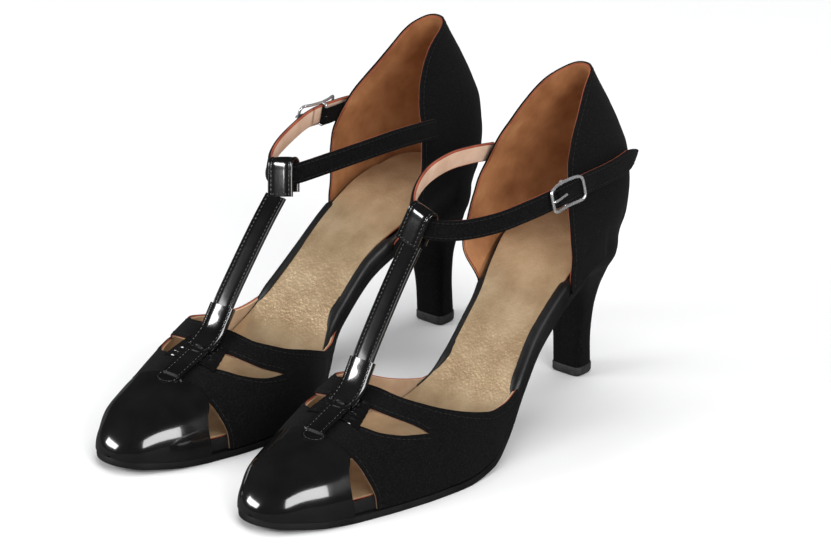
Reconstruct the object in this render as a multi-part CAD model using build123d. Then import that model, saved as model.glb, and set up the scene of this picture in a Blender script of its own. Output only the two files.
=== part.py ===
from build123d import *
from math import cos, pi, sin
import os

# A pair of women's T-strap heeled shoes, millimetres, +Z up, toes towards -Y.
# Each shoe is drawn once, in its own frame: X towards the outer side of the foot,
# Y towards the heel, Z = 0 at the ground. The second shoe is its mirror image.

# ---- driving dimensions ----------------------------------------------------
GAP = 0.15            # air left between neighbouring layers
SEAT_GAP = 0.4        # between the outsole and the vamp that stands on it
SOLE = 3.0            # leather outsole
SOCK_TOP = 10.2       # top of the sock lining above the sole's underside
BOARD_INSET = 4.3     # insole board inside the shoe's outline
SOCK_INSET = 4.6      # sock lining inside the shoe's outline
UPPER = 1.2           # suede or patent upper leather
STIFF = 0.6           # toe puff and heel counter
LINING = 0.7          # leather lining
LINING_INSET = 2.2    # from the quarter's outside to its lining
STRAP = 1.1           # strap leather
STRAP_LINING = 0.6
STRAP_WIDTH = 9.0
T_WIDTH = 11.0
BAR_RADIUS = 0.6      # buckle's centre bar and prong
WIRE = 0.75           # radius of the buckle's outer wire
BUCKLE_LENGTH = 21.5
BUCKLE_HEIGHT = 12.4
SPREAD = 86.8         # between the two shoes' middle lines
STAGGER = 4.4         # the right shoe stands this much further back
YAW = 0.8             # degrees, right shoe only
PAIR_CENTRE = (43.32, 37.51)   # middle of the pair's box, in the left shoe's frame

VAMP_END = 50.0       # where the vamp stops at the open waist
WRAP_OUTER_END = 92.5  # where the waist wrap meets the quarter, outer side
WRAP_INNER_END = 84.2  # and inner side
OUTSOLE_END = 104.0   # where the outsole stops on the heel
TOP_PIECE = 4.5       # height of the heel's rubber top piece
HEEL_COVER = 0.75     # heel covering
PIN_YS = (130.5, 135.5)   # top piece pins
PIN_X = -2.2
TREAD = (-50, 8)      # flat part of the sole, y
TOE = -86.0
BACK = 146.5

# Outline of the sole and height of its underside: y, inner x, outer x, z.
OUTLINE = (
    (-85, -4, 4, 3.5), (-83, -9.5, 10, 3.0), (-77, -15.5, 17, 2.0), (-65, -21.5, 24, 0.8),
    (-50, -27.5, 29.5, 0), (-30, -33, 35.5, 0), (-10, -35.5, 40, 0), (8, -33, 42, 0),
    (25, -26, 41, 2.5), (38, -18.5, 38, 9.5), (55, -12, 33, 25), (72, -13, 29.5, 40.5),
    (90, -19, 28.5, 53), (108, -24, 27.5, 61.5), (125, -24.3, 24.5, 65.5), (138, -19, 18, 67.5),
    (144, -11, 10, 68),
)
# Height of the forepart's ridge: y, z.
RIDGE = (
    (-86, 9), (-83, 15), (-77, 21), (-65, 25.5), (-50, 29.5), (-35, 34.5), (-20, 40), (-5, 46),
    (20, 54), (60, 72),
)
# Heel cup: z, half width at y = CUP_FRONT, y of the back, how far the inner side
# is drawn in at the front to meet the narrow waist of the sole.
CUP_FRONT = 84
CUP = (
    (40, 28.6, 139, 13.6), (62, 28.6, 141.5, 8), (80, 28.4, 150.5, 0.4), (95, 27, 156, 0),
    (105, 24.6, 156.5, 0), (117, 20.3, 153, 0), (128, 16, 148, 0), (140, 12.8, 141, 0), (152, 11, 134, 0),
)
# Front and top edge of the quarter on each side, seen from the side: y, z.
QUARTER_OUTER = (
    (93.6, 60), (93.4, 83), (93.2, 94), (95.2, 105), (99.5, 115), (105, 122), (111.5, 128.5), (118.5, 135.5),
    (126, 142.6), (136, 147.5),
)
QUARTER_INNER = (
    (85, 60), (87.2, 74), (89.6, 83), (92.2, 92), (95.6, 103), (99.7, 116), (104, 125), (110, 133), (119, 141),
    (136, 147.5),
)
# Middle of the ankle strap: x, y, z, lean in degrees towards the leg.
ANKLE = (
    (-26, 103, 108.5, 14), (-26.8, 90, 110.5, 12), (-26.6, 74, 112, 10), (-23.5, 56, 111.5, 8),
    (-17, 40, 109, 10), (-9.5, 29.5, 105.8, 14), (-3, 26.3, 103.6, 20), (5, 27.6, 102.6, 16), (14, 36, 102.4, 10),
    (21.5, 50, 103.4, 8), (26, 66, 105.4, 9), (28.2, 78, 106.8, 11), (28.5, 88, 107.2, 13), (27.6, 100, 107, 14),
)
TAIL = (
    (27.4, 100.3, 107, 14), (26.6, 108, 106.5, 14), (25.8, 118, 106, 14), (23.9, 130, 105.4, 13),
    (20.8, 142, 105, 10), (17, 152, 105, 8),
)
# Middle of the T-strap's underside above the vamp: y, z; and its sideways lean per mm of height.
T_RISE = ((-17, 43.6), (-10, 55.5), (4, 73.5), (14, 85.5), (22.4, 94.6))
T_LEAN = -0.04
BUCKLE_Y = 88


# ---- curves ----------------------------------------------------------------
def curve(points, column):
    """Smooth curve through a table, as a function of its first column."""
    at = [row[0] for row in points]
    value = [row[column] for row in points]
    last = len(at) - 1
    secant = [(value[i + 1] - value[i]) / (at[i + 1] - at[i]) for i in range(last)]
    slope = [secant[0]]
    for before, after in zip(secant, secant[1:]):
        turns = before * after <= 0
        slope.append(0 if turns else 2 * before * after / (before + after))
    slope.append(secant[-1])

    def read(x):
        x = min(max(x, at[0]), at[-1])
        i = max(j for j in range(last) if at[j] <= x)
        step = at[i + 1] - at[i]
        t = (x - at[i]) / step
        return (
            (2 * t**3 - 3 * t**2 + 1) * value[i]
            + (t**3 - 2 * t**2 + t) * step * slope[i]
            + (3 * t**2 - 2 * t**3) * value[i + 1]
            + (t**3 - t**2) * step * slope[i + 1]
        )

    return read


inner_x = curve(OUTLINE, 1)
outer_x = curve(OUTLINE, 2)
ground_z = curve(OUTLINE, 3)
ridge_z = curve(RIDGE, 1)
cup_half = curve(CUP, 1)
cup_back = curve(CUP, 2)
cup_drawn = curve(CUP, 3)


def shrink(size, inset):
    """Take inset off a half size, easing to nothing where the size is small."""
    return size - inset * size / (size + 3)


def outline_face(inset=0.0):
    """Plan of the sole, moved inwards by inset."""
    outer = [(outer_x(row[0]) - inset, row[0]) for row in OUTLINE[2:-1]]
    inner = [(inner_x(row[0]) + inset, row[0]) for row in OUTLINE[2:-1]]
    ring = [(0, TOE + inset)] + outer + [(0, BACK - inset)] + inner[::-1]
    return make_face(Spline(ring, periodic=True))


def side_face(points):
    """Closed face in the plane x = 0 from y, z corners."""
    return make_face(Polyline([(0, y, z) for y, z in points], close=True))


def across(face, x_from=-70.0, x_to=70.0):
    """Slab between two x values with a side view face."""
    return extrude(face.moved(Location((x_from, 0, 0))), x_to - x_from, dir=(1, 0, 0))


def sole_line(lift, y_from, y_to):
    """Edges of the sole's side view raised by lift: a curve, the flat tread and a curve."""
    slope = {y: Vector(0, 1, (ground_z(y + 0.1) - ground_z(y - 0.1)) / 0.2) for y in (y_from, y_to)}
    level = Vector(0, 1, 0)
    runs = []
    if y_from < TREAD[0]:
        runs.append((y_from, TREAD[0], slope[y_from], level))
    if y_to > TREAD[1]:
        runs.append((max(y_from, TREAD[1]), y_to, slope[y_from] if y_from > TREAD[1] else level, slope[y_to]))
    edges = []
    for start, end, leave, arrive in runs:
        steps = max(3, round((end - start) / 9))
        ys = [start + (end - start) * i / steps for i in range(steps + 1)]
        edges.append(Spline([(0, y, ground_z(y) + lift) for y in ys], tangents=(leave, arrive)))
    if y_from < TREAD[1]:
        edges.insert(len(edges) - 1, Line((0, TREAD[0], lift), (0, TREAD[1], lift)))
    return edges


def sole_layer(low, high, inset, y_from=-90.0, y_to=150.0):
    """Layer that follows the sole between two heights above its underside."""
    under = sole_line(low, y_from, y_to)
    over = sole_line(high, y_from, y_to)
    ends = [Line(over[0] @ 0, under[0] @ 0), Line(over[-1] @ 1, under[-1] @ 1)]
    band = make_face(Wire(under + over + ends))
    plan = extrude(outline_face(inset), 120)
    return across(band) & plan.moved(Location((0, 0, -10)))


# ---- forepart --------------------------------------------------------------
FORE_AT = (-85.2, -83.5, -78, -68, -52, -32, -10, 10, 24, 36, 44, 52)


def arch(y, inset, drop):
    """Cross-section of the forepart at y, moved inwards, with legs drop deep."""
    toe = max(0.0, (-60 - y) / 26)
    half = (outer_x(y) - inner_x(y)) / 2
    middle = (outer_x(y) + inner_x(y)) / 2
    base = ground_z(y) + SOLE + SEAT_GAP
    rise = ridge_z(y) - base
    width = shrink(half, inset)
    height = shrink(rise, inset)
    at = y + inset * toe
    pts = []
    steps = 8
    for i in range(steps + 1):
        a = pi * i / steps
        c = cos(a)
        side = abs(c) ** 0.82 * (1 if c > 0 else -1)
        up = sin(a) ** 0.86 if 0 < i < steps else 0.0
        pts.append((middle * (1 - 0.6 * up) + width * side, at, base + height * up))
    left = (pts[-1][0], at, base - drop)
    right = (pts[0][0], at, base - drop)
    if drop:
        edges = [Spline(pts), Line(pts[-1], left), Line(left, right), Line(right, pts[0])]
    else:
        edges = [Spline(pts), Line(pts[-1], pts[0])]
    return make_face(Wire(edges))


def forepart(inset, drop=0.0):
    return loft([arch(y, inset, drop) for y in FORE_AT])


def fore_shell(outside, thick):
    """Open-bottomed shell whose outside lies outside mm under the shoe's surface."""
    return forepart(outside) - forepart(outside + thick, 6.0)


CAP_LINE = ((-34, -56), (-28, -52), (-20, -46.5), (0, -44), (20, -46.5), (28, -52), (34, -56))


def cap_zone(shift):
    """Everything in front of the toe cap's back edge, shifted along Y."""
    back = [(x, y + shift) for x, y in CAP_LINE]
    edges = [
        Line((-60, back[0][1]), back[0]),
        Spline(back),
        Line(back[-1], (60, back[-1][1])),
        Line((60, back[-1][1]), (60, -120)),
        Line((60, -120), (-60, -120)),
        Line((-60, -120), (-60, back[0][1])),
    ]
    return extrude(make_face(Wire(edges)), 100).moved(Location((0, 0, -20)))


def side_curve_cut(rim, x_from, x_to):
    """Everything above a topline given as y, z points from front to back."""
    first = rim[0]
    last = rim[-1]
    pts = [(x_from, y, z) for y, z in rim]
    edges = [
        Spline(pts),
        Line(pts[-1], (x_from, last[0], 160)),
        Line((x_from, last[0], 160), (x_from, first[0], 160)),
        Line((x_from, first[0], 160), pts[0]),
    ]
    return extrude(make_face(Wire(edges)), x_to - x_from, dir=(1, 0, 0))


RIM_OUTER = ((-15, 44), (-10, 42.5), (0, 38), (14, 32), (30, 28.5), (44, 29.5), (58, 40))
RIM_INNER = ((-15, 44), (-10, 41.5), (0, 36.7), (14, 31.6), (30, 26), (44, 23.5), (58, 40))


def topline_cut():
    cut = side_curve_cut(RIM_OUTER, 0, 60) + side_curve_cut(RIM_INNER, -60, 0)
    behind = Pos(0, VAMP_END + 50, 60) * Box(160, 100, 200)
    return cut + behind


def window(corners, x_from, x_to):
    return across(side_face(corners), x_from, x_to)


CRESCENT = ((-32, 35), (-23, 40.5), (-10, 30), (-17, 28.5), (-27, 30))
SIDE_WINDOW = ((-50, 30), (-44.3, 23), (-43.6, 17.5), (-41.6, 9), (-54, 9), (-54, 18))


def windows():
    cut = window(CRESCENT, 10, 60) + window(CRESCENT, -60, -10)
    return cut + window(SIDE_WINDOW, 10, 60) + window(SIDE_WINDOW, -60, -10)


def throat_zone(grow):
    return Pos(0, -28, 40) * Box(21 + 2 * grow, 13 + 2 * grow, 60)


# ---- heel cup --------------------------------------------------------------
def ease(t):
    t = min(max(t, 0), 1)
    return t * t * (3 - 2 * t)


def cup_ring(z, inset):
    """Plan of the heel cup at height z: straight sides and a round back."""
    half = cup_half(z) - inset
    back = cup_back(z) - inset
    power = 0.61 + 0.16 * ease((z - 66) / 36)
    pts = []
    steps = 8
    for i in range(steps + 1):
        a = pi * i / steps
        y = CUP_FRONT
        if 0 < i < steps:
            y += (back - CUP_FRONT) * sin(a) ** power
        x = half * abs(cos(a)) ** power
        if cos(a) < 0:
            x = cup_drawn(z) * (1 - ease((y - 88) / 32)) - x
        pts.append((x, y, z))
    front_out = (pts[0][0], 66, z)
    front_in = (pts[-1][0], 66, z)
    edges = [Spline(pts), Line(pts[-1], front_in), Line(front_in, front_out), Line(front_out, pts[0])]
    return make_face(Wire(edges))


def cup(inset):
    return loft([cup_ring(row[0], inset) for row in CUP])


def quarter_side(edge, lower, margin, x_from, x_to):
    """One side of the quarter's side view: behind its edge and above the heel seat."""
    front = [(0, y + margin, z - margin * 0.6) for y, z in edge]
    seat_ys = (165, 146, 135, 120, 105, front[0][1])
    seat = [(0, y, ground_z(y) + lower) for y in seat_ys]
    front = [p for p in front if p[2] > seat[-1][2] + 1]
    end = front[-1]
    corner = (0, 165, end[2])
    edges = [Spline(front), Line(end, corner), Line(corner, seat[0]), Spline(seat), Line(seat[-1], front[0])]
    return across(make_face(Wire(edges)), x_from, x_to)


def quarter_zone(lower, margin=0.0, top=None):
    """Everything inside the quarter's outline, up to the height top if it is given."""
    zone = quarter_side(QUARTER_OUTER, lower, margin, 0, 70)
    zone = zone + quarter_side(QUARTER_INNER, lower, margin, -70, 0)
    if top:
        zone = zone & Pos(0, 120, top - 100) * Box(160, 120, 200)
    return zone


# ---- heel ------------------------------------------------------------------
# Heel sections: z, inner x, outer x, front y, back y.
HEEL = (
    (0, -10, 5.5, 126.5, 140), (15, -10, 6, 126.3, 138.8), (32, -11.5, 8.5, 125, 138),
    (44, -15, 12.5, 120, 139), (54, -19.5, 18, 112.5, 140.5), (64, -23.8, 23.8, 102, 143.8),
    (76, -25, 25.5, 96, 148),
)
# Heel screw and nails: x, y, radius.
NAILS = ((0, 123, 2.0), (-7, 117, 0.8), (7, 117, 0.8), (-5, 131, 0.8), (5, 131, 0.8))
heel_inner = curve(HEEL, 1)
heel_outer = curve(HEEL, 2)
heel_front = curve(HEEL, 3)
heel_back = curve(HEEL, 4)


def heel_section(z, inset):
    """D-shaped section of the heel at height z."""
    x0 = heel_inner(z) + inset
    x1 = heel_outer(z) - inset
    y0 = heel_front(z) + inset
    y1 = heel_back(z) - inset
    mid = (x0 + x1) / 2
    half = (x1 - x0) / 2
    deep = y1 - y0
    rear = [(x1, y0 + deep * 0.35, z), (mid + half * 0.77, y0 + deep * 0.82, z), (mid, y1, z)]
    rear += [(mid - half * 0.77, y0 + deep * 0.82, z), (x0, y0 + deep * 0.35, z)]
    edges = [
        Line((x0, y0, z), (x1, y0, z)),
        Line((x1, y0, z), rear[0]),
        Spline(rear),
        Line(rear[-1], (x0, y0, z)),
    ]
    return make_face(Wire(edges))


def heel_body(inset, z_from):
    levels = [z_from] + [row[0] for row in HEEL if row[0] > z_from]
    return loft([heel_section(z, inset) for z in levels])


def below_seat(height):
    """Everything lower than the sole's line raised by height, from y 80 back."""
    ys = (80, 90, 100, 110, 120, 130, 140, 165)
    line = [(0, y, ground_z(y) + height) for y in ys]
    edges = [
        Spline(line),
        Line(line[-1], (0, 165, -5)),
        Line((0, 165, -5), (0, 80, -5)),
        Line((0, 80, -5), line[0]),
    ]
    return across(make_face(Wire(edges)))


# ---- straps ----------------------------------------------------------------
def ribbon(stations, width, low, high):
    """Band through stations (point, across, normal), between two heights."""
    faces = []
    for point, over, normal in stations:
        a = point - over * (width / 2)
        b = point + over * (width / 2)
        corners = [a + normal * low, b + normal * low, b + normal * high, a + normal * high]
        faces.append(make_face(Polyline(corners, close=True)))
    return loft(faces, ruled=True)


def standing_stations(points):
    """Frames of a band that stands on edge round the ankle."""
    stations = []
    for i, (x, y, z, lean) in enumerate(points):
        before = points[max(i - 1, 0)]
        after = points[min(i + 1, len(points) - 1)]
        along = Vector(after[0] - before[0], after[1] - before[1], after[2] - before[2]).normalized()
        outward = along.cross(Vector(0, 0, 1)).normalized()
        up = outward.cross(along).normalized()
        tilt = lean * pi / 180
        over = up * cos(tilt) - outward * sin(tilt)
        normal = outward * cos(tilt) + up * sin(tilt)
        stations.append((Vector(x, y, z), over, normal))
    return stations


def lying_stations(points):
    """Frames of a band that runs up the middle of the shoe."""
    stations = []
    for i, (y, z) in enumerate(points):
        before = points[max(i - 1, 0)]
        after = points[min(i + 1, len(points) - 1)]
        along = Vector(0, after[0] - before[0], after[1] - before[1]).normalized()
        normal = Vector(1, 0, 0).cross(along)
        stations.append((Vector(T_LEAN * (z - 30), y, z), Vector(1, 0, 0), normal))
    return stations


def t_path():
    on_vamp = [(y, ridge_z(y) + 2 * GAP) for y in (-48, -42, -36, -30, -24)]
    return lying_stations(on_vamp + list(T_RISE))


# ---- buckle ----------------------------------------------------------------
# Local frame of the buckle: X along the strap towards its tip, Y up, Z outwards.
STRAP_LOW = 1.45
STRAP_HIGH = STRAP_LOW + STRAP_LINING + 0.1 + STRAP
END_BAR = STRAP_HIGH + 0.75 + WIRE


def buckle_place():
    """Location of the buckle's centre bar on the outer side of the ankle."""
    frames = standing_stations(ANKLE)
    index = [row[1] for row in ANKLE].index(BUCKLE_Y)
    point, over, normal = frames[index]
    centre = point - normal * (STRAP_LOW + (STRAP_HIGH - STRAP_LOW) / 2)
    return Location(Plane(origin=centre, x_dir=over.cross(normal), z_dir=normal))


def rod(points, radius):
    """Bent round wire: cylinders joined by balls."""
    wire = None
    for start, end in zip(points[:-1], points[1:]):
        run = Vector(*end) - Vector(*start)
        piece = Plane(origin=start, z_dir=run) * Pos(0, 0, run.length / 2) * Cylinder(radius, run.length)
        piece = piece + Pos(*end) * Sphere(radius)
        wire = piece if wire is None else wire + piece
    return wire + Pos(*points[0]) * Sphere(radius)


def buckle_frame():
    """Rounded wire rectangle, bowed over the strap, with a straight centre bar."""
    x = BUCKLE_LENGTH / 2 - WIRE
    y = BUCKLE_HEIGHT / 2 - WIRE
    corner = 2.0
    quarter = [(x, y - corner, END_BAR), (x - corner * 0.3, y - corner * 0.3, END_BAR), (x - corner, y, END_BAR)]
    quarter.append((x / 3, y, END_BAR * 0.45))
    ring = quarter + [(-a, b, c) for a, b, c in reversed(quarter)]
    ring += [(-a, -b, c) for a, b, c in quarter] + [(a, -b, c) for a, b, c in reversed(quarter)]
    ring.append(quarter[0])
    bar = rod([(0, -y, END_BAR * 0.4), (0, -y, 0), (0, y, 0), (0, y, END_BAR * 0.4)], BAR_RADIUS)
    return rod(ring, WIRE) + bar


def buckle_prong():
    """Prong looped round the centre bar, through the strap, onto the front bar."""
    eye = BAR_RADIUS + GAP
    ring = Cylinder(eye + 0.75, 1.4, rotation=(90, 0, 0)) - Cylinder(eye, 3, rotation=(90, 0, 0))
    rest = END_BAR + WIRE + GAP + 0.55
    shaft = rod([(-0.3, 0, eye + 0.3), (-1.2, 0, STRAP_HIGH + 0.9), (-8.5, 0, rest), (-10.6, 0, rest)], 0.55)
    return ring + (shaft - Cylinder(eye, 3, rotation=(90, 0, 0)))


def buckle_strap():
    """Short leather tab sewn to the quarter and folded round the centre bar."""
    loop = Cylinder(1.35, 9, rotation=(90, 0, 0)) - Cylinder(BAR_RADIUS + 0.1, 12, rotation=(90, 0, 0))
    flap = Pos(7.2, 0, -1.05) * Box(15, 9, 0.6)
    bore = Cylinder(BAR_RADIUS + 0.1, 12, rotation=(90, 0, 0))
    slot = Pos(-0.4, 0, 0.4) * Box(4.6, 2.2, 4.4)
    return loop + (flap - bore) - slot


def prong_slot():
    return Pos(-0.3, 0, (STRAP_LOW + STRAP_HIGH) / 2) * Box(5.4, 1.9, 4.0)


# ---- pieces ----------------------------------------------------------------
def bottom_pieces():
    outsole = sole_layer(0, SOLE, 0, y_to=OUTSOLE_END)
    wrap_outer = sole_layer(SOLE + GAP, SOCK_TOP - 1.0, 0, VAMP_END + GAP, WRAP_OUTER_END)
    wrap_inner = sole_layer(SOLE + GAP + 0.7, SOCK_TOP - 1.7, BOARD_INSET - GAP, 40, 110)
    wrap_mouth = sole_layer(SOLE + 2, SOCK_TOP, 6.5, 40, 110)
    under_quarter = Pos(-50, WRAP_INNER_END + 50, 60) * Box(100, 100, 200)
    wrap = wrap_outer - wrap_inner - wrap_mouth - under_quarter
    shank = Pos(4, 66, 0) * Box(11, 84, 200) & sole_layer(SOLE + 1.1, SOLE + 2.3, 4)
    groove = Pos(4, 66, 0) * Box(11.4, 84.4, 200) & sole_layer(SOLE - 1, SOLE + 2.45, 0)
    board = sole_layer(SOLE + 1.0, SOCK_TOP - 1.85, BOARD_INSET, -71) - groove
    for x, y, radius in NAILS:
        board = board - Pos(x, y, 62) * Cylinder(radius + GAP, 28)
    filler = sole_layer(SOLE + GAP, SOLE + 0.85, 6, -68, 34)
    sock = sole_layer(SOCK_TOP - 0.85, SOCK_TOP, SOCK_INSET, -69)
    return {
        "outsole": outsole, "waist_wrap": wrap, "shank": shank, "insole_board": board,
        "forepart_filler": filler, "sock_lining": sock,
    }


def forepart_pieces():
    cut = topline_cut() + windows()
    cap = fore_shell(0, UPPER) & cap_zone(0)
    puff = fore_shell(UPPER + GAP, STIFF) & cap_zone(-6)
    upper = fore_shell(0, UPPER) - cap_zone(GAP) - cut
    throat = upper & throat_zone(0)
    vamp = upper - throat_zone(GAP)
    lining = fore_shell(UPPER + STIFF + 2 * GAP, LINING) - cut
    return {
        "toe_cap": cap, "toe_puff": puff, "vamp": vamp, "throat_underlay": throat, "vamp_lining": lining,
    }


def heel_cup_pieces():
    body = [cup(0), cup(UPPER), cup(UPPER + GAP), cup(UPPER + GAP + STIFF)]
    inner = [cup(LINING_INSET), cup(LINING_INSET + LINING)]
    quarter = (body[0] & quarter_zone(SOLE + GAP)) - body[1]
    counter = (body[2] & quarter_zone(SOLE + 1, 7, 112)) - body[3]
    lining = (inner[0] & quarter_zone(SOCK_TOP + GAP, 0.3)) - inner[1]
    return {"quarter": quarter, "counter_stiffener": counter, "quarter_lining": lining}


def heel_pieces():
    foot = TOP_PIECE + GAP
    room = below_seat(SOLE - 0.2)
    behind_outsole = Pos(0, OUTSOLE_END + GAP + 50, 0) * Box(200, 100, 400)
    cover = heel_body(0, foot) - heel_body(HEEL_COVER, foot)
    cover = cover & room & (behind_outsole + below_seat(0))
    block = heel_body(HEEL_COVER + GAP, foot) & room & (behind_outsole + below_seat(-GAP))
    tip = extrude(heel_section(0, -0.3), TOP_PIECE)
    for y in PIN_YS:
        hole = Pos(PIN_X, y, 10.5) * Cylinder(1.35, 18)
        block = block - hole
        tip = tip - hole
    for x, y, radius in NAILS:
        block = block - Pos(x, y, 62) * Cylinder(radius + GAP, 28)
    pins = [Pos(PIN_X, y, 10.5) * Cylinder(1.2, 17) for y in PIN_YS]
    nails = [Pos(x, y, ground_z(y) - 1) * Cylinder(radius, 16) for x, y, radius in NAILS]
    return {
        "heel_cover": cover, "heel_block": block, "top_piece": tip,
        "top_piece_pins": Compound(pins), "heel_fasteners": Compound(nails),
    }


def strap_pieces():
    path = t_path()
    t_lining = ribbon(path[4:], T_WIDTH - 1, 0, STRAP_LINING)
    t_strap = ribbon(path, T_WIDTH, STRAP_LINING + GAP, STRAP_LINING + GAP + 1.3)
    keeper_outer = ribbon(path[4:7], T_WIDTH + 3.4, 0.4, 3.6)
    keeper_inner = ribbon(path[3:8], T_WIDTH + 0.5, -1.5, STRAP_LINING + GAP + 1.3 + GAP)
    keeper = keeper_outer - keeper_inner
    total = STRAP_HIGH - STRAP_LOW
    ankle_path = standing_stations(ANKLE)
    place = buckle_place()
    slot = place * prong_slot()
    lining = ribbon(ankle_path, STRAP_WIDTH, -total / 2, -total / 2 + STRAP_LINING) - slot
    strap = ribbon(ankle_path, STRAP_WIDTH, total / 2 - STRAP, total / 2) - slot
    tail = ribbon(standing_stations(TAIL), STRAP_WIDTH, -total / 2, total / 2)
    loop = ribbon(ankle_path[5:8], 17, -2.8, 2.9) - ribbon(ankle_path[4:9], STRAP_WIDTH + 1, -1.6, 1.6)
    return {
        "t_strap": t_strap, "t_strap_lining": t_lining, "t_strap_keeper": keeper, "t_strap_loop": loop,
        "ankle_strap": strap, "ankle_strap_lining": lining, "ankle_strap_tail": tail,
        "buckle_strap": place * buckle_strap(), "buckle_frame": place * buckle_frame(),
        "buckle_prong": place * buckle_prong(),
    }


def shoe():
    pieces = {}
    for group in (bottom_pieces, forepart_pieces, heel_cup_pieces, heel_pieces, strap_pieces):
        pieces.update(group())
    return pieces


# ---- the pair --------------------------------------------------------------
os.makedirs("parts", exist_ok=True)
left_place = Pos(-PAIR_CENTRE[0] + SPREAD, -PAIR_CENTRE[1], 0)
right_place = Pos(-PAIR_CENTRE[0], -PAIR_CENTRE[1] + STAGGER, 0) * Rot(0, 0, YAW)
for name, piece in shoe().items():
    export_step(left_place * piece, f"parts/left_{name}.step")
    export_step(right_place * mirror(piece, about=Plane.YZ), f"parts/right_{name}.step")
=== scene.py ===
from math import copysign, cos, pi, radians, sin, sqrt

import bpy
import numpy as np
from mathutils import Matrix, Vector, noise
from mathutils.geometry import delaunay_2d_cdt

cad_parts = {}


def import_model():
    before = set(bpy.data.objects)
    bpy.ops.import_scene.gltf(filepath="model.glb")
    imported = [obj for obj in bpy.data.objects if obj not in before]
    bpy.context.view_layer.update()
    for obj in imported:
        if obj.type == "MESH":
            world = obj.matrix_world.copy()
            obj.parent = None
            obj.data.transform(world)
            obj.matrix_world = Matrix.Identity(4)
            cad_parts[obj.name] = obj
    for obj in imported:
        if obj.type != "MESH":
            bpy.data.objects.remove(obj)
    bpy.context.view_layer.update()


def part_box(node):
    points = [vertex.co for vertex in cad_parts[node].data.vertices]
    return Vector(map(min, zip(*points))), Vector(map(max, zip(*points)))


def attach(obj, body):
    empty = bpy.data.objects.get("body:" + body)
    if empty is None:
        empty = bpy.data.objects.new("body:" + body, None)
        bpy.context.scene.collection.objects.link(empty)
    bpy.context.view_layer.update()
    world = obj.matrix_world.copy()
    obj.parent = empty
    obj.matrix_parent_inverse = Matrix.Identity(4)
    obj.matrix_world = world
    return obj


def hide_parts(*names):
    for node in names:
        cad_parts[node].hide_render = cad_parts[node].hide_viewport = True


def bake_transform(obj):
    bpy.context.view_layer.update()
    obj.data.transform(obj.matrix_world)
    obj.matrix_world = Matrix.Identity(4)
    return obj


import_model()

MM = 0.001

# Shape of one shoe, in millimetres, in its own frame: X to the outer side of
# the foot, Y towards the heel, Z up from the ground. Both shoes use it.
SOLE = 3.0
SEAT_GAP = 0.4
SOCK_TOP = 10.2
TOE = -86.0
TOE_ROUND = -60.0         # in front of this the plan rounds off to the toe
VAMP_END = 50.0
SEAT_BACK = 145.9         # rearmost point of the heel seat
SEAT_ROUND = 120.0        # behind this the seat rounds off
SEAT_HALF = 24.6
STRAP_WIDTH = 9.0
SPREAD = 86.8
STAGGER = 4.4
YAW = radians(0.8)

# y, inner edge x, outer edge x, height of the sole's underside
OUTLINE = (
    (-86, -19, 20, 3.5), (-77, -19, 20, 2), (-65, -22.5, 24, 0.8), (-50, -27.5, 29.5, 0),
    (-30, -33, 35.5, 0), (-10, -35.5, 40, 0), (8, -33, 42, 0), (25, -26, 41, 2.5), (38, -18.5, 38, 9.5),
    (55, -12, 33, 25), (72, -13, 29.5, 40.5), (90, -19, 28.5, 53), (108, -24, 27.5, 61.5),
    (125, -24.3, 24.5, 65.5), (138, -19, 18, 67.5), (146.5, -11, 10, 68),
)
RIDGE = ((-86, 22), (-77, 23.5), (-65, 26), (-50, 29.5), (-35, 34.5), (-20, 40), (-5, 46), (20, 54), (60, 72))
CUP_START = 60            # the cup's sides run straight back from here
CUP_FRONT = 84            # and start to curve round here
CUP = ((40, 28.6, 139), (62, 28.6, 141.5), (80, 28.4, 150.5), (95, 27, 156), (105, 24.6, 156.5),
       (117, 20.3, 153), (128, 16, 148), (140, 12.8, 141), (152, 11, 134))
HEEL = (
    (0, -10, 5.5, 126.5, 140), (15, -10, 6, 126.3, 138.8), (32, -11.5, 8.5, 125, 138),
    (44, -15, 12.5, 120, 139), (54, -19.5, 18, 112.5, 140.5), (64, -23.6, 23.6, 102, 143.5),
    (70, -24.4, 24.6, 98, 145.6), (76, -24.8, 25.2, 96, 146),
)
# Middle of the ankle strap: x, y, z, lean in degrees towards the leg
ANKLE = (
    (-26, 103, 108.5, 14), (-26.8, 90, 110.5, 12), (-26.6, 74, 112, 10), (-23.5, 56, 111.5, 8),
    (-17, 40, 109, 10), (-9.5, 29.5, 105.8, 14), (-3, 26.3, 103.6, 20), (5, 27.6, 102.6, 16),
    (14, 36, 102.4, 10), (21.5, 50, 103.4, 8), (26, 66, 105.4, 9), (28.2, 78, 106.8, 11),
    (28.5, 88, 107.2, 13), (27.6, 100, 107, 14), (26.6, 108, 106.5, 14), (25.8, 118, 106, 14),
    (23.9, 130, 105.4, 13), (20.8, 142, 105, 10), (17, 152, 105, 8),
)
BUCKLE_STATION = 12
T_RISE = ((-17, 43.9), (-10, 55.5), (4, 73.5), (14, 85.5), (22.4, 94.6))
LOOP_STATION = 6
STRAP_LOW = 1.45
STRAP_HIGH = 3.25
WIRE = 0.75
BUCKLE_LENGTH = 21.5
BUCKLE_HEIGHT = 12.4
BUCKLE_REACH = 2.4        # the frame reaches further in front of the centre bar
END_BAR = STRAP_HIGH + 0.75 + WIRE


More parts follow.
